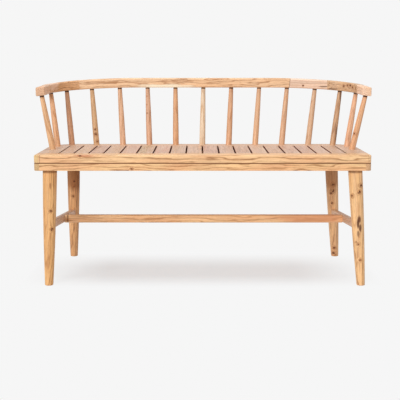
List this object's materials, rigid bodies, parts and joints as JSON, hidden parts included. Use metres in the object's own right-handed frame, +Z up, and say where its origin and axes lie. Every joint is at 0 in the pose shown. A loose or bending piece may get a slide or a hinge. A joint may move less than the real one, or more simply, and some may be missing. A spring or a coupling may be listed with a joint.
{
  "type": "deacons bench",
  "caption": "Wooden deacon's bench with a bowed back and arm rail on turned spindles, a slatted seat on an apron frame, splayed turned legs and an H stretcher.",
  "frame": {"origin": "on the floor under the middle of the seat, within 4 mm of the bottom centre of the bounding box, because the rail sits a little to the right", "axes": "+X to the right as seen from the front, along the bench; +Y from the front to the back; +Z up"},
  "size_m": [1.208, 0.504, 0.7044],
  "materials": {
    "rail_wood": "satin oil or thin matt varnish, slightly worn",
    "dowel_wood": "raw, unfinished",
    "spindle_wood": "satin oil or thin matt varnish, slightly worn",
    "seat_wood": "satin oil or thin matt varnish, slightly worn",
    "apron_wood": "satin oil or thin matt varnish, slightly worn",
    "leg_wood": "satin oil or thin matt varnish, slightly worn",
    "stretcher_wood": "satin oil or thin matt varnish, slightly worn",
    "screw_steel": "zinc plated, dull"
  },
  "bodies": {
    "root": {"rail_back_long": "rail_wood", "rail_back_short": "rail_wood", "rail_corner_left": "rail_wood", "rail_corner_right": "rail_wood", "rail_arm_left": "rail_wood", "rail_arm_right": "rail_wood", "rail_joint_dowels": "dowel_wood", "spindle_left_arm": "spindle_wood", "spindle_left_side": "spindle_wood", "spindle_left_corner": "spindle_wood", "spindle_back_1": "spindle_wood", "spindle_back_2": "spindle_wood", "spindle_back_3": "spindle_wood", "spindle_back_4": "spindle_wood", "spindle_back_5": "spindle_wood", "spindle_back_6": "spindle_wood", "spindle_back_7": "spindle_wood", "spindle_back_8": "spindle_wood", "spindle_back_9": "spindle_wood", "spindle_right_corner": "spindle_wood", "spindle_right_side": "spindle_wood", "spindle_right_arm": "spindle_wood", "seat_rail_front": "seat_wood", "seat_rail_back": "seat_wood", "seat_end_board_left": "seat_wood", "seat_end_board_right": "seat_wood", "slat_01": "seat_wood", "slat_02": "seat_wood", "slat_03": "seat_wood", "slat_04": "seat_wood", "slat_05": "seat_wood", "slat_06": "seat_wood", "slat_07": "seat_wood", "slat_08": "seat_wood", "slat_09": "seat_wood", "slat_10": "seat_wood", "slat_11": "seat_wood", "slat_12": "seat_wood", "slat_13": "seat_wood", "slat_14": "seat_wood", "slat_15": "seat_wood", "slat_16": "seat_wood", "slat_17": "seat_wood", "slat_18": "seat_wood", "apron_front": "apron_wood", "apron_back": "apron_wood", "apron_left": "apron_wood", "apron_right": "apron_wood", "leg_front_left": "leg_wood", "leg_front_right": "leg_wood", "leg_back_left": "leg_wood", "leg_back_right": "leg_wood", "side_stretcher_left": "stretcher_wood", "side_stretcher_right": "stretcher_wood", "long_stretcher": "stretcher_wood", "apron_screws": "screw_steel"}
  },
  "joints": []
}
